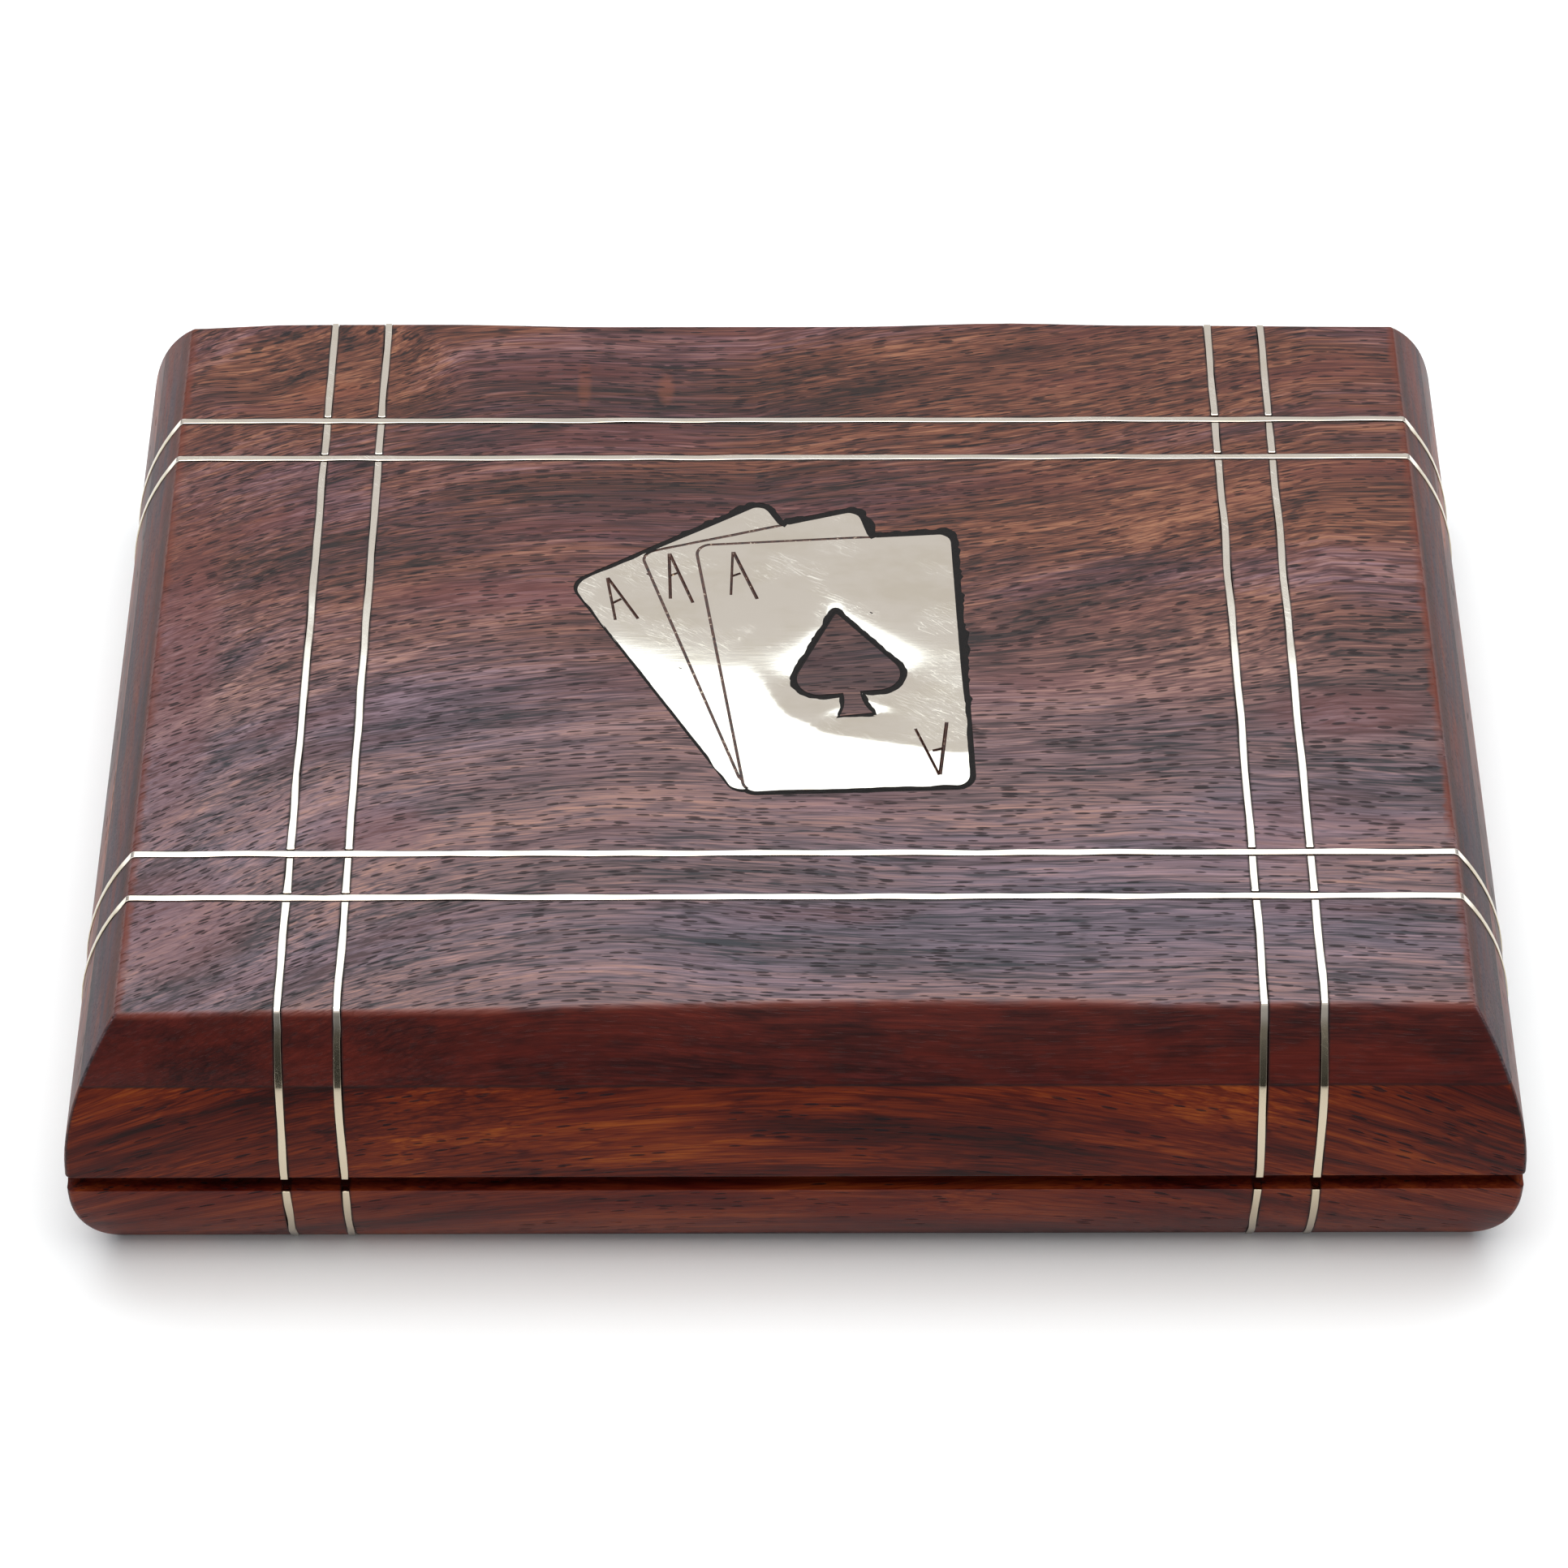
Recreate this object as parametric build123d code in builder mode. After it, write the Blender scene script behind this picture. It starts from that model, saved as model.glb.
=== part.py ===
# Playing card box: a hinged box of dark rosewood, with a curved base and a bevelled lid.
# White metal strips are let into the wood in crossing pairs, and a metal plate of three
# fanned aces is let into the lid. Two wells in the base hold a deck of cards each.
# Frame: X runs across the box, Y from the front to the hinges, Z up.
# The origin is the middle of the underside, where the box rests.

from build123d import *
from math import radians, sqrt, tan
import os

os.makedirs("parts", exist_ok=True)

# Overall sizes of the closed box, in millimetres
box_width = 178
box_depth = 140
base_height = 16
lid_height = 21.8
parting_gap = 0.2

# How far the sides curve in from the parting line
lid_inset = 7.4
base_inset = 4.6
base_straight = 3

# Thicknesses of the wood
panel_thickness = 8
board_thickness = 4
board_overlap = 4
rail_width = 15
divider_width = 8
divider_drop = 1
dado_depth = 2

# Softened edges of the wood
top_edge_radius = 0.7
corner_edge_radius = 0.7
bottom_edge_radius = 0.8
parting_edge_radius = 0.4
rim_edge_radius = 0.8
divider_edge_radius = 1.5

# Finger groove along the front of the base, under the lid's edge
groove_height = 2.1
groove_depth = 2.2
groove_radius = 0.8

# Inlaid strips, in pairs across the box and in pairs from front to back
strip_width = 1.0
strip_depth = 1.0
strip_proud = 0.2
across_spacing = 7.4
across_pair_inset = 30.1
along_spacing = 7.2
along_pair_inset = 29.7
along_shift = 0.7
crossing_gap = 0.25
strip_foot = 0.5

# Corners of the three fanned cards, cut by eye, from the middle of the lid
front_card = ((-12.8, 19.3), (20.7, 21.6), (22.1, -24.6), (-6.2, -25.6))
middle_card = ((-19.9, 17.8), (8.5, 26.1), (20.5, -16.0), (-6.5, -24.4))
back_card = ((-28.4, 12.0), (-4.0, 27.5), (17.0, -11.0), (-6.9, -25.7))
card_corner_radius = 1.8
card_line_width = 0.4
card_line_depth = 0.25

# Spade cut out of the front card, drawn upright about the middle of its lobes
spade_x = 6.95
spade_y = -5.1
spade_tilt = 7.4
spade_tip = 12.1
tip_radius = 0.3
lobe_offset = 3.7
lobe_radius = 3.4
stem_neck_width = 3.4
stem_neck = 2.2
stem_foot_width = 5.2
stem_foot = 7.4
stem_curve_radius = 6

# How the plate is let into the lid
plate_thickness = 1.0
plate_proud = 0.15
filler_bed = 0.2
filler_margin = 0.7
filler_drop = 0.06
spade_filler_margin = 0.5

# Hinges
hinge_inset = 54
hinge_length = 25
hinge_axis_inset = 1.0
open_angle = 98
stop_clearance_angle = 1
leaf_width = 10
leaf_thickness = 0.9
leaf_gap = 0.1
leaf_clearance = 0.1
knuckle_count = 3
knuckle_gap = 0.15
barrel_radius = 1.7
barrel_clearance = 0.3
pin_radius = 0.8
pin_clearance = 0.05
pin_head_radius = 1.2
pin_head_thickness = 0.5

# Hinge screws
screw_spacing = 15
screw_setback = 6.2
screw_head_radius = 1.9
screw_shank_radius = 1.0
screw_length = 8
screw_clearance = 0.05

# Heights and places that follow from the sizes
lid_bottom = base_height + parting_gap
lid_top = lid_bottom + lid_height
panel_bottom = lid_top - panel_thickness
lid_rail_height = lid_height - panel_thickness
lid_radius = (lid_height**2 + lid_inset**2) / (2 * lid_inset)
base_curve_top = base_height - base_straight
base_radius = (base_curve_top**2 + base_inset**2) / (2 * base_inset)
inner_width = box_width - 2 * rail_width
inner_depth = box_depth - 2 * rail_width
divider_height = base_height - board_thickness - divider_drop

hinge_y = box_depth / 2 - hinge_axis_inset
hinge_z = base_height + parting_gap / 2
hinge_x = box_width / 2 - hinge_inset
knuckle_pitch = hinge_length / knuckle_count
leaf_root = hinge_y - barrel_radius - barrel_clearance
plate_bottom = lid_top + plate_proud - plate_thickness

# Each side of the box: its turn about Z, its length and its distance from the middle
sides = {
    "back": (0, box_width, box_depth / 2),
    "left": (90, box_depth, box_width / 2),
    "front": (180, box_width, box_depth / 2),
    "right": (270, box_depth, box_width / 2),
}

# Where the middle of each strip lies: lines across the box, and lines from front to back,
# which lie a little to the right of where they should
across_lines = [
    pair * (box_depth / 2 - across_pair_inset) + strip * across_spacing / 2
    for pair in (-1, 1)
    for strip in (-1, 1)
]
along_lines = [
    pair * (box_width / 2 - along_pair_inset) + strip * along_spacing / 2 + along_shift
    for pair in (-1, 1)
    for strip in (-1, 1)
]


def lid_section(half_width, grow):
    """Cross-section of the lid, with its sides and top moved outwards by grow.

    Only the strips' outer face has its top corners rounded here: the wood's are rounded
    once the whole form is made.
    """
    foot_x = half_width + grow
    top_z = lid_top + grow
    centre_x = half_width - lid_radius
    top_x = centre_x + sqrt((lid_radius + grow) ** 2 - (lid_height + grow) ** 2)
    with BuildSketch(mode=Mode.PRIVATE) as section:
        with BuildLine():
            Line((-foot_x, lid_bottom), (foot_x, lid_bottom))
            TangentArc((foot_x, lid_bottom), (top_x, top_z), tangent=(0, 1))
            Line((top_x, top_z), (-top_x, top_z))
            TangentArc((-foot_x, lid_bottom), (-top_x, top_z), tangent=(0, 1))
        make_face()
        if grow > 0:
            fillet(section.vertices().group_by(Axis.Y)[-1], top_edge_radius + grow)
    return section.sketch


def base_section(half_width, grow):
    """Cross-section of the base, with its sides moved outwards by grow."""
    side_x = half_width + grow
    centre_x = half_width - base_radius
    foot_x = centre_x + sqrt((base_radius + grow) ** 2 - base_curve_top**2)
    with BuildSketch(mode=Mode.PRIVATE) as section:
        with BuildLine():
            Line((side_x, base_curve_top), (side_x, base_height))
            Line((side_x, base_height), (-side_x, base_height))
            Line((-side_x, base_height), (-side_x, base_curve_top))
            TangentArc((-side_x, base_curve_top), (-foot_x, 0), tangent=(0, -1))
            Line((-foot_x, 0), (foot_x, 0))
            TangentArc((side_x, base_curve_top), (foot_x, 0), tangent=(0, -1))
        make_face()
    return section.sketch


def finish(piece, name):
    """Label a finished piece and write it to its own file."""
    piece.label = name
    export_step(piece, f"parts/{name}.step")


# Whole outer form of the lid, which its panel and rails are shaped to
with BuildPart() as lid_form:
    with BuildSketch(Plane.XZ):
        add(lid_section(box_width / 2, 0))
    extrude(amount=box_depth / 2, both=True)
    with BuildSketch(Plane.YZ):
        add(lid_section(box_depth / 2, 0))
    extrude(amount=box_width / 2, both=True, mode=Mode.INTERSECT)
    fillet(lid_form.edges().filter_by(GeomType.ELLIPSE), corner_edge_radius)
    fillet(lid_form.edges().group_by(Axis.Z)[-1], top_edge_radius)
    fillet(lid_form.edges().group_by(Axis.Z)[0], parting_edge_radius)

# Whole outer form of the base
with BuildPart() as base_form:
    with BuildSketch(Plane.XZ):
        add(base_section(box_width / 2, 0))
    extrude(amount=box_depth / 2, both=True)
    with BuildSketch(Plane.YZ):
        add(base_section(box_depth / 2, 0))
    extrude(amount=box_width / 2, both=True, mode=Mode.INTERSECT)
    corners = base_form.edges().filter_by(Axis.Z) + base_form.edges().filter_by(GeomType.ELLIPSE)
    fillet(corners, corner_edge_radius)
    fillet(base_form.edges().group_by(Axis.Z)[0], bottom_edge_radius)
    fillet(base_form.edges().group_by(Axis.Z)[-1], parting_edge_radius)


def strip_bands(section, across, along):
    """Bands of metal that follow a section's outline along the given lines."""
    with BuildPart() as bands:
        for y in across:
            with BuildSketch(Plane.XZ.offset(-y)):
                add(section(box_width / 2, strip_proud))
                add(section(box_width / 2, -strip_depth), mode=Mode.SUBTRACT)
            extrude(amount=strip_width / 2, both=True)
        for x in along:
            with BuildSketch(Plane.YZ.offset(x)):
                add(section(box_depth / 2, strip_proud))
                add(section(box_depth / 2, -strip_depth), mode=Mode.SUBTRACT)
            extrude(amount=strip_width / 2, both=True)
    return bands.part


lid_beds = strip_bands(lid_section, across_lines, along_lines)
base_beds = strip_bands(base_section, across_lines, along_lines)

# Space in front of the base under the lid's edge, for a fingertip
with BuildPart() as finger_groove:
    with BuildSketch(Plane.YZ.offset(-box_width / 2)):
        with Locations((-box_depth / 2 + groove_depth, base_height - groove_height)):
            Rectangle(2 * groove_depth, 2 * groove_height, align=(Align.MAX, Align.MIN))
    extrude(amount=box_width)
    floor_edges = finger_groove.edges().filter_by(Axis.X).group_by(Axis.Z)[0]
    fillet(floor_edges.sort_by(Axis.Y)[-1], groove_radius)

# Space round the hinges: the wedge that lets the lid open, and a bore for each barrel
with BuildPart() as hinge_space:
    wedge_reach = hinge_axis_inset + 2 * barrel_radius
    wedge_rise = wedge_reach * tan(radians(open_angle / 2 + stop_clearance_angle))
    with BuildSketch(Plane.YZ):
        with BuildLine():
            Polyline(
                (hinge_y, hinge_z),
                (hinge_y + wedge_reach, hinge_z + wedge_rise),
                (hinge_y + wedge_reach, hinge_z - wedge_rise),
                close=True,
            )
        make_face()
    extrude(amount=box_width, both=True)
    for x in (-hinge_x, hinge_x):
        with BuildSketch(Plane.YZ.offset(x)):
            with Locations((hinge_y, hinge_z)):
                Circle(barrel_radius + barrel_clearance)
        extrude(amount=hinge_length / 2 + pin_head_thickness + barrel_clearance, both=True)

# Countersunk screw, drawn with the middle of its head at the origin and its shank down
with BuildPart() as screw:
    with BuildSketch(Plane.XZ):
        with BuildLine():
            Polyline(
                (0, 0),
                (screw_head_radius, 0),
                (screw_shank_radius, -leaf_thickness),
                (screw_shank_radius, -screw_length),
                (0, -screw_length),
                close=True,
            )
        make_face()
    revolve(axis=Axis.Z)


def leaf_plane(for_lid):
    """Plane of a leaf's inner face at the hinge axis, with its normal towards the other leaf."""
    z = hinge_z + leaf_gap / 2 if for_lid else hinge_z - leaf_gap / 2
    return Plane((0, hinge_y, z), x_dir=(1, 0, 0), z_dir=(0, 0, -1 if for_lid else 1))


def screw_places(for_lid, middles):
    """Places of the screws of the leaves at the given middles, with +Z out of their heads."""
    flip = 180 if for_lid else 0
    z = leaf_plane(for_lid).origin.Z
    return [
        Location((middle + side * screw_spacing / 2, hinge_y - screw_setback, z), (flip, 0, 0))
        for middle in middles
        for side in (-1, 1)
    ]


def leaf_outline(middle, clearance):
    """Plan of a leaf from the hinge axis inwards, in row directions, grown by a clearance."""
    with BuildSketch(mode=Mode.PRIVATE) as outline:
        with Locations((middle, 0)):
            Rectangle(
                hinge_length + 2 * clearance,
                leaf_width + clearance,
                align=(Align.CENTER, Align.MAX),
            )
    return outline.sketch


def hinge_leaf(middle, for_lid):
    """One leaf of a butt hinge, with its knuckles and countersunk screw holes."""
    first = 1 if for_lid else 0
    starts = [middle - hinge_length / 2 + i * knuckle_pitch for i in range(knuckle_count)]
    own_knuckles = starts[first::2]
    other_knuckles = starts[1 - first::2]
    face = leaf_plane(for_lid)
    depth = -leaf_thickness if for_lid else leaf_thickness
    with BuildPart() as leaf:
        with BuildSketch(Plane((0, hinge_y, face.origin.Z - depth))):
            add(leaf_outline(middle, 0))
            for start in other_knuckles:
                with Locations((start - knuckle_gap / 2, 0)):
                    Rectangle(
                        knuckle_pitch + knuckle_gap,
                        2 * (hinge_y - leaf_root),
                        align=(Align.MIN, Align.CENTER),
                        mode=Mode.SUBTRACT,
                    )
        extrude(amount=depth)
        for start in own_knuckles:
            with BuildSketch(Plane.YZ.offset(start + knuckle_gap / 2)):
                with Locations((hinge_y, hinge_z)):
                    Circle(barrel_radius)
            extrude(amount=knuckle_pitch - knuckle_gap)
        with BuildSketch(Plane.YZ.offset(middle)):
            with Locations((hinge_y, hinge_z)):
                Circle(pin_radius + pin_clearance)
        extrude(amount=hinge_length, both=True, mode=Mode.SUBTRACT)
        with Locations(*screw_places(for_lid, [middle])):
            CounterSinkHole(
                screw_shank_radius + screw_clearance,
                screw_head_radius + screw_clearance,
                depth=leaf_thickness,
            )
    return leaf.part


def leaf_beds(for_lid):
    """Shallow beds for both leaves, and the holes for their screws."""
    face = leaf_plane(for_lid)
    depth = -leaf_thickness if for_lid else leaf_thickness
    with BuildPart() as beds:
        with BuildSketch(Plane((0, hinge_y, face.origin.Z - depth))):
            for middle in (-hinge_x, hinge_x):
                add(leaf_outline(middle, leaf_clearance))
                with Locations((middle, 0)):
                    Rectangle(
                        hinge_length + 2 * leaf_clearance,
                        2 * hinge_axis_inset,
                        align=(Align.CENTER, Align.MIN),
                    )
        extrude(amount=2 * depth)
        with Locations(*screw_places(for_lid, [-hinge_x, hinge_x])):
            Cylinder(
                screw_shank_radius + screw_clearance,
                screw_length + screw_clearance,
                align=(Align.CENTER, Align.CENTER, Align.MAX),
            )
    return beds.part


def mitred_rail(side, bottom, height, rim):
    """Rail of one side with mitred ends and its inner rim softened, before its face is shaped."""
    turn, length, reach = sides[side]
    with BuildPart() as rail:
        with BuildSketch(Plane.XY.offset(bottom).rotated((0, 0, turn))):
            with BuildLine():
                Polyline(
                    (-length / 2, reach),
                    (length / 2, reach),
                    (length / 2 - rail_width, reach - rail_width),
                    (-length / 2 + rail_width, reach - rail_width),
                    close=True,
                )
            make_face()
        extrude(amount=height)
        rim_edges = rail.edges().filter_by_position(Axis.Z, rim, rim)
        fillet(rim_edges.sort_by_distance((0, 0, rim))[0], rim_edge_radius)
    return rail.part


# Bottom board, let into the rails from below
with BuildPart() as base_bottom_board:
    with BuildSketch():
        Rectangle(inner_width + 2 * board_overlap, inner_depth + 2 * board_overlap)
    extrude(amount=board_thickness)
finish(base_bottom_board.part, "base_bottom_board")

# Divider between the two wells, with its ends let into the rails and its top rounded over
with BuildPart() as well_divider:
    with BuildSketch(Plane.XY.offset(board_thickness)):
        Rectangle(divider_width, inner_depth + 2 * dado_depth)
    extrude(amount=divider_height)
    top_edges = well_divider.edges().filter_by(Axis.Y).group_by(Axis.Z)[-1]
    fillet(top_edges, divider_edge_radius)
finish(well_divider.part, "well_divider")

# Lid rails
lid_leaf_beds = leaf_beds(True)
for side in sides:
    with BuildPart() as lid_rail:
        add(mitred_rail(side, lid_bottom, lid_rail_height, lid_bottom))
        add(lid_form, mode=Mode.INTERSECT)
        add(lid_beds, mode=Mode.SUBTRACT)
        add(hinge_space, mode=Mode.SUBTRACT)
        if side == "back":
            add(lid_leaf_beds, mode=Mode.SUBTRACT)
    finish(lid_rail.part, f"lid_{side}_rail")

# Base rails
base_leaf_beds = leaf_beds(False)
for side in sides:
    with BuildPart() as base_rail:
        add(mitred_rail(side, 0, base_height, base_height))
        add(base_form, mode=Mode.INTERSECT)
        add(base_bottom_board, mode=Mode.SUBTRACT)
        add(well_divider, mode=Mode.SUBTRACT)
        add(base_beds, mode=Mode.SUBTRACT)
        add(finger_groove, mode=Mode.SUBTRACT)
        add(hinge_space, mode=Mode.SUBTRACT)
        if side == "back":
            add(base_leaf_beds, mode=Mode.SUBTRACT)
    finish(base_rail.part, f"base_{side}_rail")


def card_outline(corners):
    """One card of the plate, with rounded corners."""
    with BuildSketch(mode=Mode.PRIVATE) as card:
        with BuildLine():
            Polyline(*corners, close=True)
        make_face()
        fillet(card.vertices(), card_corner_radius)
    return card.sketch


def card_edge_line(corners):
    """Narrow band along a card's edge, where its line is cut into the plate."""
    with BuildSketch(mode=Mode.PRIVATE) as line:
        offset(card_outline(corners), amount=card_line_width / 2)
        offset(card_outline(corners), amount=-card_line_width / 2, mode=Mode.SUBTRACT)
    return line.sketch


def spade_outline(margin):
    """Plan of the spade, two lobes drawn up to a point on a flared stem, less a margin."""
    neck_x = stem_neck_width / 2 - margin
    foot_x = stem_foot_width / 2 - margin
    foot_y = -stem_foot + margin
    with BuildSketch(mode=Mode.PRIVATE) as upright:
        with Locations((-lobe_offset, 0), (lobe_offset, 0)):
            Circle(lobe_radius - margin)
        with Locations((0, spade_tip - 2 * margin)):
            Circle(tip_radius)
        make_hull()
        with BuildLine():
            Polyline((-neck_x, -stem_neck), (0, 0), (neck_x, -stem_neck))
            RadiusArc((neck_x, -stem_neck), (foot_x, foot_y), -stem_curve_radius)
            Line((foot_x, foot_y), (-foot_x, foot_y))
            RadiusArc((-foot_x, foot_y), (-neck_x, -stem_neck), -stem_curve_radius)
        make_face()
    with BuildSketch(mode=Mode.PRIVATE) as outline:
        with Locations((spade_x, spade_y)):
            add(upright.sketch, rotation=spade_tilt)
    return outline.sketch


# Plan of the whole fan
with BuildSketch() as fan:
    for corners in (front_card, middle_card, back_card):
        add(card_outline(corners))

# Bed of the plate: the fan and its margin, with the spade of wood left standing
with BuildSketch() as plate_bed:
    offset(fan.sketch, amount=filler_margin)
    add(spade_outline(spade_filler_margin), mode=Mode.SUBTRACT)

# Inlaid plate, with the edges of the two nearer cards cut as lines
with BuildPart() as ace_plate:
    with BuildSketch(Plane.XY.offset(plate_bottom)):
        add(fan.sketch)
        add(spade_outline(0), mode=Mode.SUBTRACT)
    extrude(amount=plate_thickness)
    with BuildSketch(Plane.XY.offset(lid_top + plate_proud)):
        add(card_edge_line(front_card))
        with BuildSketch(mode=Mode.PRIVATE) as cards_behind:
            add(card_outline(middle_card))
            add(card_outline(back_card))
        add(cards_behind.sketch, mode=Mode.INTERSECT)
        with BuildSketch(mode=Mode.PRIVATE) as middle_line:
            add(card_edge_line(middle_card))
            add(card_outline(back_card), mode=Mode.INTERSECT)
            add(card_outline(front_card), mode=Mode.SUBTRACT)
        add(middle_line.sketch)
    extrude(amount=-card_line_depth, mode=Mode.SUBTRACT)
finish(ace_plate.part, "ace_plate")

# Black filler that the plate is set in
with BuildPart() as plate_filler:
    with BuildSketch(Plane.XY.offset(plate_bottom - filler_bed)):
        add(plate_bed.sketch)
    extrude(amount=lid_top - filler_drop - plate_bottom + filler_bed)
    with BuildSketch(Plane.XY.offset(plate_bottom)):
        add(fan.sketch)
        add(spade_outline(0), mode=Mode.SUBTRACT)
    extrude(amount=plate_thickness, mode=Mode.SUBTRACT)
finish(plate_filler.part, "plate_filler")

# Lid panel
with BuildPart() as lid_top_panel:
    with BuildSketch(Plane.XY.offset(panel_bottom)):
        Rectangle(box_width, box_depth)
    extrude(amount=panel_thickness)
    add(lid_form, mode=Mode.INTERSECT)
    add(lid_beds, mode=Mode.SUBTRACT)
    with BuildSketch(Plane.XY.offset(plate_bottom - filler_bed)):
        add(plate_bed.sketch)
    extrude(amount=plate_thickness + filler_bed, mode=Mode.SUBTRACT)
finish(lid_top_panel.part, "lid_top_panel")

# Strips across the lid: each is one length, bent down over both sides
for number, y in enumerate(across_lines, start=1):
    strip = strip_bands(lid_section, [y], [])
    finish(strip, f"lid_cross_strip_{number}")

# Strips from the front of the lid to its back, cut where the others cross them
with BuildPart() as crossings:
    for y in across_lines:
        with BuildSketch(Plane.XY.offset(panel_bottom)):
            with Locations((0, y)):
                Rectangle(box_width, strip_width + 2 * crossing_gap)
        extrude(amount=2 * panel_thickness)

for number, x in enumerate(along_lines, start=1):
    with BuildPart() as strip:
        add(strip_bands(lid_section, [], [x]))
        add(crossings, mode=Mode.SUBTRACT)
        add(hinge_space, mode=Mode.SUBTRACT)
    finish(strip.part, f"lid_long_strip_{number}")

# Strips down the four sides of the base
for side, (turn, length, reach) in sides.items():
    with BuildPart() as base_strips:
        with BuildSketch(Plane.XY.offset(strip_foot).rotated((0, 0, turn))):
            with Locations((0, reach)):
                Rectangle(length, 2 * rail_width)
        extrude(amount=base_height)
        add(base_beds, mode=Mode.INTERSECT)
        add(finger_groove, mode=Mode.SUBTRACT)
        add(hinge_space, mode=Mode.SUBTRACT)
    finish(base_strips.part, f"base_{side}_strips")

# Hinge leaves and pins
for name, middle in (("left", -hinge_x), ("right", hinge_x)):
    finish(hinge_leaf(middle, False), f"{name}_hinge_base_leaf")
    finish(hinge_leaf(middle, True), f"{name}_hinge_lid_leaf")
    with BuildPart() as pin:
        with BuildSketch(Plane.YZ.offset(middle)):
            with Locations((hinge_y, hinge_z)):
                Circle(pin_radius)
        extrude(amount=hinge_length / 2, both=True)
        for end in (-1, 1):
            with BuildSketch(Plane.YZ.offset(middle + end * hinge_length / 2)):
                with Locations((hinge_y, hinge_z)):
                    Circle(pin_head_radius)
            extrude(amount=end * pin_head_thickness)
    finish(pin.part, f"{name}_hinge_pin")

# Hinge screws
for name, for_lid in (("base", False), ("lid", True)):
    with BuildPart() as screws:
        with Locations(*screw_places(for_lid, [-hinge_x, hinge_x])):
            add(screw)
    finish(screws.part, f"hinge_{name}_screws")
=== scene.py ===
import math
import random

import bmesh
import bpy
from mathutils import Matrix, Vector, noise


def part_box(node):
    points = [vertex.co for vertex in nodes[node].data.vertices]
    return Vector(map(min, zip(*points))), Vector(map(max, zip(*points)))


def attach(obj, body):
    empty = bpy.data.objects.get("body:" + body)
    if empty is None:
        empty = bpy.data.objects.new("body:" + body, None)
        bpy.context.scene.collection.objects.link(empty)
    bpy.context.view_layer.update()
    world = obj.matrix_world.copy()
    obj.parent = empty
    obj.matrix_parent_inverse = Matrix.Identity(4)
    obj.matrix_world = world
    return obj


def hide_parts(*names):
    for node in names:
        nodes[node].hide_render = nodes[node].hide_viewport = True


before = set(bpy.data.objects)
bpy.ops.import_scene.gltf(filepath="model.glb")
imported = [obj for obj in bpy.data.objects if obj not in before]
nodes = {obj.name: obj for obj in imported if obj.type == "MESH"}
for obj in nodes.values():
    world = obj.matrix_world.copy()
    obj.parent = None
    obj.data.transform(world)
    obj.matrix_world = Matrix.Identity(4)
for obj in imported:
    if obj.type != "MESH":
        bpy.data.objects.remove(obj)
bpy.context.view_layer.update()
mm = 0.001


# Camera, where the photographer stood
camera = {
    "lens": 123.486,  # on a sensor 36 mm wide
    "place": (-1.29 * mm, -493.15 * mm, 518.72 * mm),
    "tilt": 44.286,
    "yaw": 0.0,
    "roll": -0.125,
}


def addCamera():
    data = bpy.data.cameras.new("camera")
    data.lens = camera["lens"]
    data.sensor_width = 36
    data.clip_start = 0.01
    data.clip_end = 50
    eye = bpy.data.objects.new("camera", data)
    bpy.context.scene.collection.objects.link(eye)
    stand = Matrix.Translation(camera["place"])
    for turn, axis in (("yaw", "Z"), ("tilt", "X"), ("roll", "Z")):
        stand = stand @ Matrix.Rotation(math.radians(camera[turn]), 4, axis)
    eye.matrix_world = stand
    bpy.context.scene.camera = eye


addCamera()
print("camera placed")


def rgb(colour):  # "#rrggbb" as a screen shows it, to linear light
    shares = [int(colour[i:i + 2], 16) / 255 for i in (1, 3, 5)]
    return [s / 12.92 if s <= 0.04045 else ((s + 0.055) / 1.055) ** 2.4 for s in shares] + [1]


# A shader socket that can stand in a sum
class Wire:
    def __init__(self, sheet, socket):
        self.sheet = sheet
        self.socket = socket

    def maths(self, operation, first, second):
        return self.sheet.node("ShaderNodeMath", {"operation": operation}, {0: first, 1: second})

    def __add__(self, other):
        return self.maths("ADD", self, other)

    def __radd__(self, other):
        return self.maths("ADD", other, self)

    def __sub__(self, other):
        return self.maths("SUBTRACT", self, other)

    def __rsub__(self, other):
        return self.maths("SUBTRACT", other, self)

    def __mul__(self, other):
        return self.maths("MULTIPLY", self, other)

    def __rmul__(self, other):
        return self.maths("MULTIPLY", other, self)

    def __truediv__(self, other):
        return self.maths("DIVIDE", self, other)

    def __pow__(self, other):
        return self.maths("POWER", self, other)

    def __abs__(self):
        return self.maths("ABSOLUTE", self, 0)

    def least(self, other):
        return self.maths("MINIMUM", self, other)

    def most(self, other):
        return self.maths("MAXIMUM", self, other)

    def fade(self, start, end):  # eased from 0 at start to 1 at end
        return self.sheet.node("ShaderNodeMapRange", {"interpolation_type": "SMOOTHSTEP"},
                               {"Value": self, "From Min": start, "From Max": end})

    def times(self, stretch):  # a vector's three numbers, each by its own
        return self.sheet.node("ShaderNodeVectorMath", {"operation": "MULTIPLY"},
                               {0: self, 1: stretch})

    def moved(self, step):
        return self.sheet.node("ShaderNodeVectorMath", {"operation": "ADD"}, {0: self, 1: step})

    def parts(self):
        split = self.sheet.node("ShaderNodeSeparateXYZ", None, {"Vector": self}).socket.node
        return [Wire(self.sheet, output) for output in split.outputs]


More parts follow.
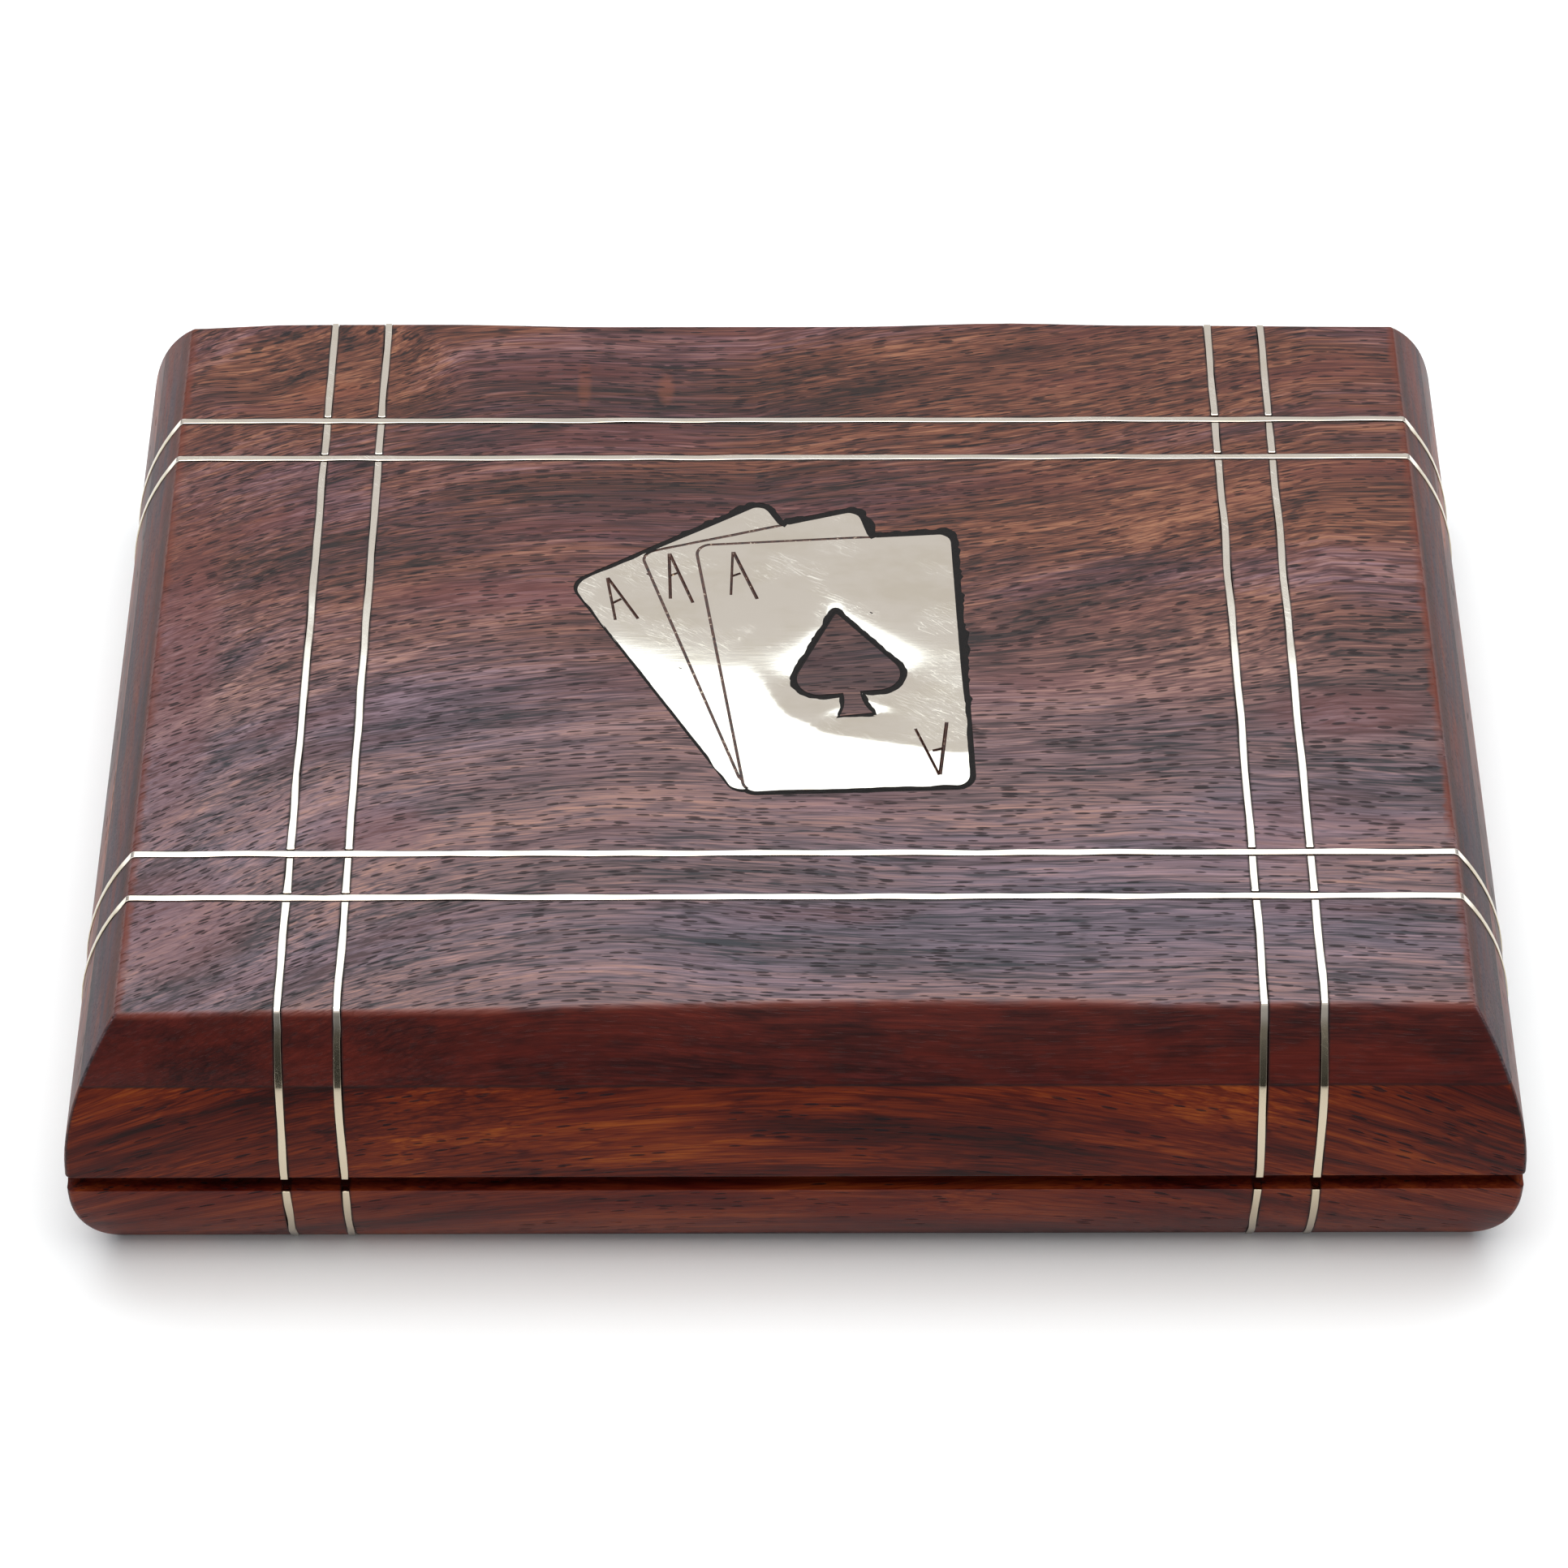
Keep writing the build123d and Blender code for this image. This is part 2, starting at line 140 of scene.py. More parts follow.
# One material's nodes, with places on the piece in millimetres
class Sheet:
    def __init__(self, name):
        self.material = bpy.data.materials.new(name)
        self.material.use_nodes = True
        self.tree = self.material.node_tree
        self.tree.nodes.clear()
        self.place = self.node("ShaderNodeTexCoord", output="Object").times((1 / mm,) * 3)

    def node(self, kind, settings=None, inputs=None, output=0):
        made = self.tree.nodes.new(kind)
        for name, value in (settings or {}).items():
            if name == "stops":
                while len(made.color_ramp.elements) < len(value):
                    made.color_ramp.elements.new(0.5)
                for element, (place, colour) in zip(made.color_ramp.elements, value):
                    element.position = place
                    element.color = rgb(colour)
            else:
                setattr(made, name, value)
        for name, value in (inputs or {}).items():
            if isinstance(value, Wire):
                self.tree.links.new(value.socket, made.inputs[name])
            else:
                made.inputs[name].default_value = rgb(value) if isinstance(value, str) else value
        return Wire(self, made.outputs[output]) if made.outputs else made

    def join(self, x, y, z):
        return self.node("ShaderNodeCombineXYZ", None, {"X": x, "Y": y, "Z": z})

    def cloud(self, where, detail=2.0, roughness=0.5):  # soft noise about one half
        return self.node("ShaderNodeTexNoise", None,
                         {"Vector": where, "Scale": 1, "Detail": detail, "Roughness": roughness})

    # The same in lumps of the given sizes
    def lumps(self, place, sizes, detail=2.0, roughness=0.5, step=None):
        where = self.join(*(value / size for value, size in zip(place, sizes)))
        return self.cloud(where.moved(step) if step else where, detail, roughness)

    def rows(self, where, detail=2.0, roughness=0.5):  # the same along one number
        return self.node("ShaderNodeTexNoise", {"noise_dimensions": "1D"},
                         {"W": where, "Scale": 1, "Detail": detail, "Roughness": roughness})

    def cells(self, where):  # distance to the nearest scattered point, and a number of its own
        near = self.node("ShaderNodeTexVoronoi", None, {"Vector": where, "Scale": 1}, "Distance")
        return near, Wire(self, near.socket.node.outputs["Color"]).parts()[0]

    def mix(self, amount, first, second, blend="MIX"):
        return self.node("ShaderNodeMix", {"data_type": "RGBA", "blend_type": blend},
                         {0: amount, 6: first, 7: second}, 2)

    def ramp(self, value, stops):
        return self.node("ShaderNodeValToRGB", {"stops": stops}, {"Fac": value})

    def bump(self, height, distance, under=None):
        inputs = {"Height": height, "Distance": distance * mm, "Strength": 1}
        if under:
            inputs["Normal"] = under
        return self.node("ShaderNodeBump", None, inputs)

    def finish(self, inputs):
        skin = self.node("ShaderNodeBsdfPrincipled", None, inputs)
        self.node("ShaderNodeOutputMaterial", None, {"Surface": skin})
        return self.material


def paint(name, material):
    nodes[name].data.materials.clear()
    nodes[name].data.materials.append(material)


# The box as its patterns and strips see it, in millimetres
box = {
    "halfWidth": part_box("lid_front_rail")[1].x / mm,
    "halfDepth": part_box("lid_left_rail")[1].y / mm,
    "top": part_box("lid_top_panel")[1].z / mm,
    "glue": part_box("lid_top_panel")[0].z / mm,  # height of the line between panel and rails
    "flatX": 81.6,  # where the flat of the lid ends
    "flatY": 62.6,
    "widestAt": 14.6,  # height from which the sides curve in
    "curveHeight": 23.4,
    "curvedIn": 8,  # how far in they are at the top
    "acrossPair": 39.9,  # middle of each pair of strips
    "acrossSpacing": 7.4,
    "alongPair": 59.3,
    "alongSpacing": 7.2,
    "alongShift": 0.7,
    "stripWidth": 1.0,
}


# Long arrises of the lid, a little off straight as the maker's sanding left them
sanding = {
    "front": [  # place across, and how far back the arris lies there
        (-82, 0.2), (-66, 0.6), (-45, 0.75), (-15, 1.7), (14, 2.15),
        (32, 2.1), (50, 1.5), (68, 1.7), (82, 1.4),
    ],
    "back": [
        (-82, 0), (-68, 0.8), (-48, 0.8), (-25, 0.2), (8, 0.15),
        (29, 0.8), (46, 0.3), (82, -0.1),
    ],
    "reach": 12,  # how far in from the arris the flat follows
}


def sanded(x, arris):  # how far an arris lies back, for a number or a wire
    points = sanding[arris]
    shift = points[0][1]
    for (start, first), (end, last) in zip(points, points[1:]):
        shift = shift + eased(x, start, end) * (last - first)
    return shift


def eased(x, start, end):  # from 0 at start to 1 at end, also for either
    if isinstance(x, Wire):
        return x.fade(start, end)
    share = min(1, max(0, (x - start) / (end - start)))
    return share * share * (3 - 2 * share)


def besideStrips(x, y):  # how far a place on the lid is from the nearest strip's edge
    across = abs(abs(abs(y) - box["acrossPair"]) - box["acrossSpacing"] / 2)
    along = abs(abs(abs(x - box["alongShift"]) - box["alongPair"]) - box["alongSpacing"] / 2)
    return across.least(along) - box["stripWidth"] / 2


# Rosewood's marks: length along the grain and width across it in millimetres, detail and roughness
marks = {
    "patch": (55, 9, 3, 0.55),
    "streak": (26, 0.8, 3, 0.7),
    "fibre": (9, 0.24, 2, 0.6),
    "hair": (24, 1.2, 1.5, 0.5),
    "longHair": (34, 2.1, 2, 0.5),
    "slowHue": (60, 14, 2, 0.5),
    "quickHue": (16, 0.6, 2, 0.5),
    "redPatch": (35, 7, 2, 0.5),
    "poreBand": (26, 3.5, 2, 0.5),
}

# What all the rosewood shares: lumps of noise in millimetres, and how strongly each thing shows
wood = {
    "sweepSize": (95, 60, 60),
    "wobbleSize": (18, 9, 9),
    "swellSize": (16, 12, 12),
    "wearSize": (9, 9, 9),
    "fineSize": (1.2, 1.2, 1.2),
    "mottleSize": (14, 5, 5),
    "blushSize": (1.6, 22, 1.8),
    "poreSize": (3.0, 0.43),  # length and width of the cells that hold one pore each
    "dashSize": (2.2, 0.34),
    "leastPore": 0.14,  # shares of such a cell
    "poreSpread": 0.22,
    "bevelPores": 0.75,  # how far the bevels hide them
    "seam": 0.6,
    "mitre": 0.6,
    # strength of the painted shade beside the strips
    "besideStrip": 0.75,
    "ledge": 0.5,
    "grainBump": 0.05,
    "swellBump": 0.12,
}


# Rosewood with its grain along X, or along Y where "turned" is set
def rosewood(name, look):
    sheet = Sheet(name)
    where = sheet.place
    onBox = where.parts()
    boxX, boxY, boxZ = onBox
    if look["turned"]:
        where = sheet.node("ShaderNodeMapping", None,
                           {"Vector": where, "Rotation": (0, 0, math.pi / 2)})
    inTree = where.moved(look["cutFrom"]).parts()
    x, y, z = inTree

    # The grain's own line across the board: slow sweeps first, then small wobbles
    slow = sheet.lumps(inTree, wood["sweepSize"], 1.5) - 0.5
    wobble = sheet.lumps(inTree, wood["wobbleSize"]) - 0.5
    shift = slow * look["sweep"] + wobble * look["wobble"]
    if look["figure"]:
        left = (look["arcStart"] - x).most(0)
        rise = (x - look["riseStart"]).most(0).least(look["riseLength"]) * y.fade(-45, 30)
        shift = shift + left * left * look["arcBend"] - rise * look["riseSlope"]
        shift = shift + spot(x, y, look["knot"]) * look["knotBend"]
    grainY = y + shift
    endwise = boxY if look["turned"] else boxX
    grainZ = z + shift * 0.3 + endwise * endwise * look["arch"]

    def along(mark):  # noise drawn out along the grain
        length, width, detail, roughness = marks[mark]
        return sheet.lumps((x, grainY, grainZ), (length, width, width), detail, roughness)

    def scattered(size, step=None):  # cells drawn out in the same way
        length, width = size
        where = sheet.join(x / length, grainY / width, grainZ / width)
        return sheet.cells(where.moved(step) if step else where)

    def spotted(value, spots, depth):  # a value raised or lowered in some places
        for place in look[spots]:
            value = value + spot(x, y, place) * depth
        return value

    # Growth bands, fine streaks and fibres, all along that line
    bands = sheet.rows((grainY * look["ringLean"] + grainZ) / look["bandWidth"], 3, 0.6)
    streaks, fibres = along("streak") - 0.5, along("fibre") - 0.5
    tone = (bands - 0.5) * look["bandDepth"] + (along("patch") - 0.5) * look["patchDepth"]
    tone = tone + look["tone"] + streaks * look["streakDepth"] + fibres * look["fibreDepth"]
    hairs = 1 - abs(along("hair") - 0.5).fade(0.004, 0.04)  # thin dark lines, some close together
    hairs = hairs.most(1 - abs(along("longHair") - 0.52).fade(0.003, 0.025))
    tone = tone - hairs * look["hairDepth"]

    # Warm and cool timber, changing slowly over the board and quickly from fibre to fibre
    hue = along("slowHue").fade(0.36, 0.64) * 0.5 + (along("quickHue") - 0.5) * look["hueDepth"]
    hue = hue + look["coolShare"]
    if look["figure"]:
        # Cool spots: partly the wood's own cool tone, and those in front partly a painted bluish
        # sheen
        hue = spotted(hue, "coolAndSheenSpots", look["coolDepth"])
        hue = spotted(hue, "warmSpots", -look["warmDepth"])
        tone = spotted(tone, "darkSpots", -look["darkDepth"])
        tone = spotted(tone, "paleSpots", look["paleDepth"])
    warm, cool = sheet.ramp(tone, look["warm"]), sheet.ramp(tone, look["cool"])
    colour = sheet.mix(hue.fade(0, 1), warm, cool)
    red = along("redPatch").fade(0.5, 0.72) * look["redShare"]
    if look["figure"]:
        for place in look["redSpots"]:
            red = red.most(spot(x, y, place) * look["redDepth"])
        for place in look["orangeSpots"]:
            colour = sheet.mix(spot(x, y, place) * look["orangeDepth"], colour, look["orange"])
    colour = sheet.mix(red, colour, look["red"])

    # Pores: short dark dashes, crowded in some bands, with fainter ones between them
    near, kind = scattered(wood["poreSize"])
    crowd = along("poreBand") - boxY * 0.0008
    reach = wood["leastPore"] + kind * wood["poreSpread"]
    pores = (1 - (near - reach).fade(-0.04, 0.07)) * (kind * 0.5 + crowd).fade(*look["poreCrowd"])
    near, kind = scattered(wood["dashSize"], (7, 5, 3))
    dashes = (1 - near.fade(0.1, 0.34)) * kind.fade(0.4, 0.8)

    # How far a place lies outside the flat of the lid, whose long arrises aren't straight
    edgeX = abs(boxX) - box["flatX"]
    rise = ((boxZ - box["glue"]) / (box["top"] - box["glue"])).most(0).least(1)
    inFront = sanded(boxX, "front") * rise - boxY
    edgeY = inFront.most(boxY - sanded(boxX, "back") * rise) - box["flatY"]
    if look["figure"]:
        longBevel = (edgeY - edgeX).fade(-0.1, 0.3) * edgeY.fade(-0.1, 0.5)
        endBevel = (edgeX - edgeY).fade(-0.1, 0.3) * edgeX.fade(-0.1, 0.5)
        shown = 1 - longBevel.most(endBevel) * wood["bevelPores"]
        pores, dashes = pores * shown, dashes * shown
    colour = sheet.mix(pores * look["poreDepth"], colour, look["poreColour"])
    colour = sheet.mix(dashes * look["dashDepth"], colour, look["poreColour"])

    # The long bevels are deep red and darkened further as painted shade, the end ones mauve, and
    # the flat has a painted bluish sheen in front
    if look["figure"]:
        # Painted shade: the long bevels' red is darkened well below the flat's, partly the wood's
        # own deep red
        shadedTint = sheet.mix(0.9, colour, look["bevelShadeTint"], "MULTIPLY")
        mottle = sheet.lumps(onBox, wood["mottleSize"], 4, 0.65, (9, 2, 6))
        even = sheet.mix(mottle.fade(0.35, 0.65), look["bevelShadeColour"], look["bevelShadePale"])
        colour = sheet.mix(longBevel, colour, sheet.mix(look["bevelEven"], shadedTint, even))
        blush = sheet.lumps(onBox, wood["blushSize"], 4, 0.7, (3, 8, 1))
        endTint = sheet.ramp(blush - edgeX * 0.035 + boxY * 0.0012 + 0.12, look["endTints"])
        colour = sheet.mix(endBevel, colour, sheet.mix(0.75, colour, endTint))
        # Painted sheen: bluish grey added to the flat's colour towards the front, a painted
        # reflection of the lamps
        paintedSheen = (1 - longBevel) * (1 - endBevel) * boxY.fade(25, -35)
        paintedSheen = paintedSheen * (1 - pores * 0.9) * (1 - dashes * 0.5) * (tone * 2.2 - 0.1).most(0.3)
        colour = sheet.mix(paintedSheen, colour, look["paintedSheen"], "ADD")
        inSpade = spot(boxX, boxY, look["spade"]).fade(0, 0.3)  # the plate hides the rest of this
        colour = sheet.mix(inSpade * 0.4, colour, look["poreColour"])

    # Worn end arrises, and a painted highlight along the long arrises
    wearAndHighlightLumps = sheet.lumps(onBox, wood["wearSize"], 3, 0.6)
    fine = sheet.lumps(onBox, wood["fineSize"])
    betweenLong = 1 - edgeY.fade(-0.4, 0.4)
    endArris = (1 - abs(edgeX + 0.1 + (fine - 0.5) * 1.6).fade(0.1, 1.1)) * betweenLong
    endArris = endArris * (wearAndHighlightLumps.fade(0.3, 0.65) * 0.7 + 0.15)
    colour = sheet.mix(endArris * look["arris"], colour, look["arrisColour"])
    # Painted highlight: a thin lighter line where the rounded long arris catches the light, patchy
    # along its length
    longArrisHighlight = (1 - abs(edgeY - 0.15).fade(0.05, 0.5)) * (1 - edgeX.fade(-0.4, 0.4))
    longArrisHighlight = longArrisHighlight * wearAndHighlightLumps.fade(0.35, 0.6) * 0.55
    colour = sheet.mix(longArrisHighlight * look["arris"], colour, look["arrisHighlightColour"])

    # Dark lines: the glue line, the mitres, painted shade along the metal's edges and a ledge
    # below the end arrises
    below = edgeX.most(edgeY).fade(0.4, 1.2)
    seam = (1 - abs(boxZ - box["glue"]).fade(0.05, 0.28)) * below
    mitre = (1 - abs(edgeX - edgeY).fade(0.06, 0.4)) * below
    bulge = ((boxZ - box["widestAt"]) / box["curveHeight"]) ** 2 * box["curvedIn"] + 1.8
    deep = (abs(boxX) - box["halfWidth"] + bulge).most(abs(boxY) - box["halfDepth"] + bulge)
    outside = deep.most(boxZ - box["top"] + 0.5).fade(0, 0.2)  # not on the surfaces inside the box
    # Painted shade in the narrow gaps beside the strips
    strip = (1 - besideStrips(boxX, boxY).fade(0.0, 0.3)) * outside
    ledge = (1 - abs(edgeX - 0.9).fade(0.1, 0.9)) * betweenLong * look["arris"]
    dark = (seam * wood["seam"]).most(mitre * wood["mitre"])
    dark = dark.most(strip * wood["besideStrip"]).most(ledge * wood["ledge"])
    colour = sheet.mix(dark, colour, look["seamColour"])

    relief = 1 - pores * 0.9 - dashes * 0.3 - fibres * 0.3 - streaks * 0.3
    grainBump = sheet.bump(relief, wood["grainBump"])
    normal = sheet.bump(sheet.lumps(inTree, wood["swellSize"], 1), wood["swellBump"], grainBump)
    roughness = look["roughness"] + pores * 0.25 + streaks * 0.12
    if look["figure"]:
        roughness = roughness + endBevel * look["endRoughness"]
    return sheet.finish({"Base Color": colour, "Roughness": roughness, "Normal": normal,
                         "Specular IOR Level": look["shine"]})


def spot(x, y, place):  # a soft oval mark: 1 at its middle, 0 at its rim
    middleX, middleY, reachX, reachY = place
    away = ((x - middleX) / reachX) ** 2 + ((y - middleY) / reachY) ** 2
    return 1 - away.fade(0, 1)


# The top board has a figure and bevels of its own; a spot is its middle and how far it reaches
panelLook = {
    "turned": False, "cutFrom": (0, 0, 0), "figure": True,
    "sweep": 14, "wobble": 1.3, "arch": 0,
    "arcStart": -20, "arcBend": 0.0045,
    "riseStart": -5, "riseLength": 75, "riseSlope": 0.2,
    "knot": (-62, 53, 19, 13), "knotBend": 4,
    "ringLean": 0.25, "bandWidth": 2.2,
    "tone": 0.535, "bandDepth": 0.66, "patchDepth": 0.55,
    "streakDepth": 0.85, "fibreDepth": 1.15, "hairDepth": 0.26,
    "warm": [(0.1, "#22110c"), (0.4, "#4e291e"), (0.6, "#6a3d2c"), (0.9, "#916046")],
    "cool": [(0.1, "#1b1215"), (0.4, "#44292e"), (0.6, "#5d3e43"), (0.9, "#836268")],
    "coolShare": 0.1, "hueDepth": 1.2,
    # cool spots; the two in front are partly painted sheen
    "coolAndSheenSpots": [(-72, 30, 22, 14), (-5, -52, 60, 12), (-40, -10, 30, 16), (50, -50, 50, 16)],
    "coolDepth": 0.35,
    "warmSpots": [(35, 52, 50, 14), (50, 28, 40, 14), (-62, 53, 18, 12), (50, 0, 40, 14)],
    "warmDepth": 0.7,
    "darkSpots": [(-20, 47, 45, 15), (-55, 16, 30, 8), (0, 30, 50, 6), (10, -50, 40, 8)],
    "darkDepth": 0.17,
    "paleSpots": [(60, 25, 30, 12), (-45, 0, 25, 8), (-60, -30, 30, 12), (56, -56, 40, 11)],
    "paleDepth": 0.1,
    "redSpots": [(-76, -48, 12, 12), (-52, -32, 10, 6), (-35, 10, 25, 4), (70, -12, 14, 6),
                 (-78, -5, 6, 40)],
    "red": "#64302b", "redShare": 0.35, "redDepth": 0.55,
    "orangeSpots": [(-28, 51, 1.2, 6), (-17, 50, 1.5, 4), (-62, 50, 7, 2)],
    "orange": "#8a4a2c", "orangeDepth": 0.25,
    "poreColour": "#140f14", "poreCrowd": (0.62, 0.7), "poreDepth": 0.8, "dashDepth": 0.4,
    # the lighter colour along the long arrises is a painted highlight
    "arris": 1.0, "arrisColour": "#622a1a", "arrisHighlightColour": "#7c3a2c", "seamColour": "#1a1010",
    # the bluish colour added towards the front of the flat is a painted sheen
    "spade": (5.5, -6, 17, 17), "paintedSheen": "#333f49",
    # the long bevels' colours: deep red, darkened further as painted shade
    "bevelShadeTint": "#b04436", "bevelShadeColour": "#250405", "bevelShadePale": "#52140a", "bevelEven": 0.6,
    "endTints": [(0.3, "#181722"), (0.45, "#322633"), (0.55, "#482426"), (0.7, "#622213")],
    "endRoughness": 0.16,
    "roughness": 0.4, "shine": 0.28,
}
railLook = dict(
    panelLook, figure=False, cutFrom=(40, 20, 15), arch=0.0022, ringLean=0.7, bandWidth=5,
    tone=0.53, bandDepth=0.8, patchDepth=1.3, streakDepth=0.5, fibreDepth=0.5, hairDepth=0.14,
    warm=[(0.15, "#200503"), (0.4, "#460f04"), (0.6, "#682307"), (0.85, "#934711")],
    cool=[(0.15, "#1f0608"), (0.4, "#380b0a"), (0.6, "#50150d"), (0.85, "#6c2a14")],
    coolShare=-0.4, red="#56100a", poreCrowd=(0.92, 1.05), dashDepth=0.2, arris=0.0, shine=0.12,
)
sideRailLook = dict(railLook, turned=True, cutFrom=(0, 70, 30), coolShare=0.1)
baseLook = dict(railLook, cutFrom=(90, 60, 45),
                warm=[(0.15, "#280805"), (0.4, "#4a130b"), (0.6, "#60210f"), (0.85, "#7e3716")])
sideBaseLook = dict(baseLook, turned=True, cutFrom=(10, 160, 60))
boardLook = dict(baseLook, cutFrom=(130, 20, 85))

panelWood = rosewood("panelWood", panelLook)
railWood = rosewood("railWood", railLook)
sideRailWood = rosewood("sideRailWood", sideRailLook)
baseWood = rosewood("baseWood", baseLook)
sideBaseWood = rosewood("sideBaseWood", sideBaseLook)
boardWood = rosewood("boardWood", boardLook)

paint("lid_top_panel", panelWood)
for side in ("front", "back"):
    paint(f"lid_{side}_rail", railWood)
    paint(f"base_{side}_rail", baseWood)
for side in ("left", "right"):
    paint(f"lid_{side}_rail", sideRailWood)
    paint(f"base_{side}_rail", sideBaseWood)
paint("base_bottom_board", boardWood)
paint("well_divider", sideBaseWood)
print("wood finished")


# White metal of the strips and the plate, brushed along X and filed with the wood on the sides
metal = {
    "filmSize": (9, 6, 6),
    "rubbedSize": (8, 6, 6),  # of the places that have scratches
    "scratchWidth": 0.012,
    "filedFrom": (0.8, 2.5),  # below the top of the lid
    "filedEven": 0.7,
    "filedRoughness": 0.08,
}


def whiteMetal(name, look):
    sheet = Sheet(name)
    place = sheet.place.parts()
    x, y, z = place
    film = sheet.lumps(place, metal["filmSize"], 3, 0.6)
    sides = (box["top"] - z).fade(*metal["filedFrom"])
    colour = sheet.mix(film.fade(0.4, 0.75), look["bright"], look["dull"])
    colour = sheet.mix(sides, colour, look["filed"])
    uneven = 1 - sides * metal["filedEven"]
    brushed = sheet.lumps(place, (look["brushX"], look["brushY"], 0.3), 3, 0.6) * uneven
    fringe = sheet.lumps(place, (look["brushX"], look["brushY"] * 5, 2), 2, 0.6) * uneven
    rubbed = sheet.lumps(place, metal["rubbedSize"], 1, step=(4, 1, 7)).fade(0.5, 0.62)
    steep = sheet.lumps((x + y, x - y, z), (0.5, 9, 1), 1)
    flat = sheet.lumps((x * 0.5 + y, x - y * 0.5, z), (0.45, 8, 1), 1, step=(3, 3, 3))
    steep, flat = (1 - abs(lines - 0.5).fade(0, metal["scratchWidth"]) for lines in (steep, flat))
    roughness = look["roughness"] + (brushed - 0.5) * 0.03 + film * 0.01
    roughness = roughness + sides * metal["filedRoughness"]
    roughness = roughness + steep.most(flat) * rubbed * look["scratchDepth"]
    normal = sheet.bump(brushed, look["brushDepth"], sheet.bump(fringe, look["fringeDepth"]))
    return sheet.finish({"Base Color": colour, "Metallic": 1.0, "Roughness": roughness,
                         "Normal": normal})


plateLook = {
    "bright": "#f3e9dc", "dull": "#ebe0d0", "filed": "#bdb09a", "roughness": 0.03,
    "brushX": 4, "brushY": 0.12, "brushDepth": 0.0001, "fringeDepth": 0.0004, "scratchDepth": 0.16,
}
stripLook = dict(plateLook, roughness=0.08, brushX=0.6, brushY=0.6, brushDepth=0.0006,
                 fringeDepth=0.0018)
plateMetal = whiteMetal("plateMetal", plateLook)
stripMetal = whiteMetal("stripMetal", stripLook)


def cutPolish(name):  # brown polish left in the cut lines, with bare metal where it has come away
    sheet = Sheet(name)
    clump = sheet.lumps(sheet.place.parts(), (0.5, 0.5, 0.5), 3, 0.6)
    bare = clump.fade(0.62, 0.7)
    colour = sheet.mix(clump.fade(0.3, 0.6), "#1d1010", "#4a2a1e")
    colour = sheet.mix(bare, colour, "#c9b8a4")
    return sheet.finish({"Base Color": colour, "Metallic": bare, "Roughness": 0.55 - bare * 0.3,
                         "Normal": sheet.bump(clump, 0.03)})


groovePolish = cutPolish("groovePolish")


def blackFiller(name):  # gritty and matt
    sheet = Sheet(name)
    grit = sheet.cloud(sheet.place.times((1.6, 1.6, 1.6)), 4, 0.6)
    colour = sheet.ramp(grit, [(0.3, "#0b0909"), (0.7, "#1a1514")])
    return sheet.finish({"Base Color": colour, "Roughness": 0.6 + grit * 0.2,
                         "Normal": sheet.bump(grit, 0.15), "Specular IOR Level": 0.2})


def brass(name, bright, tarnish, drawnWidth):  # with the marks of the die, and tarnished in places
    sheet = Sheet(name)
    place = sheet.place.parts()
    drawn = sheet.lumps(place, (6, drawnWidth, drawnWidth), 3, 0.6)
    age = sheet.lumps(place, (4, 4, 4), 3, 0.6)
    colour = sheet.mix(age.fade(0.42, 0.7), bright, tarnish)
    return sheet.finish({"Base Color": colour, "Metallic": 1, "Roughness": 0.26 + age * 0.2,
                         "Normal": sheet.bump(drawn, 0.008)})


filler = blackFiller("blackFiller")
hingeBrass = brass("hingeBrass", "#d8b266", "#8c6a34", 0.2)
screwBrass = brass("screwBrass", "#cfa052", "#74531f", 0.5)
paint("plate_filler", filler)
for name in nodes:
    if "hinge" in name:
        paint(name, hingeBrass)
print("finishes ready")


def chosen(piece):  # only this piece selected and active
    bpy.ops.object.select_all(action="DESELECT")
    piece.select_set(True)
    bpy.context.view_layer.objects.active = piece


def copyNode(name, newName):  # a merged copy of a CAD piece, to be worked on by hand
    piece = bpy.data.objects.new(newName, nodes[name].data.copy())
    bpy.context.scene.collection.objects.link(piece)
    chosen(piece)
    bpy.ops.object.mode_set(mode="EDIT")
    bpy.ops.mesh.select_all(action="SELECT")
    bpy.ops.mesh.remove_doubles(threshold=1e-6)
    bpy.ops.mesh.tris_convert_to_quads()
    bpy.ops.object.mode_set(mode="OBJECT")
    bpy.ops.mesh.customdata_custom_splitnormals_clear()
    return piece


def applyModifier(piece, kind, **settings):
    chosen(piece)
    modifier = piece.modifiers.new(kind.lower(), kind)
    for name, value in settings.items():
        setattr(modifier, name, value)
    bpy.ops.object.modifier_apply(modifier=modifier.name)


def cutFrom(piece, cutter, operation):
    applyModifier(piece, "BOOLEAN", object=cutter, operation=operation, solver="EXACT",
                  use_self=True)
    bpy.data.objects.remove(cutter)


def softShade(piece, angle):
    chosen(piece)
    bpy.ops.object.shade_smooth_by_angle(angle=math.radians(angle))


def settle(piece, material, body, slot, *replaced):
    piece.data.materials.clear()
    piece.data.materials.append(material)
    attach(piece, body)
    if replaced:
        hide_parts(*replaced)


def sand(piece):  # takes the lid's long arrises off straight, and the flat beside them
    for vert in piece.data.vertices:
        x, y, z = vert.co / mm
        share = eased(abs(y), box["flatY"] - sanding["reach"], box["flatY"])
        rise = min(1, max(0, (z - box["glue"]) / (box["top"] - box["glue"])))
        vert.co.y += sanded(x, "front" if y < 0 else "back") * share * rise * mm


# The lid's top board, divided finely along its arrises
board = {
    "cutStep": 5,
    "cutsAcross": (50.5, 53.5, 56.5, 59.5, 61.5),
}


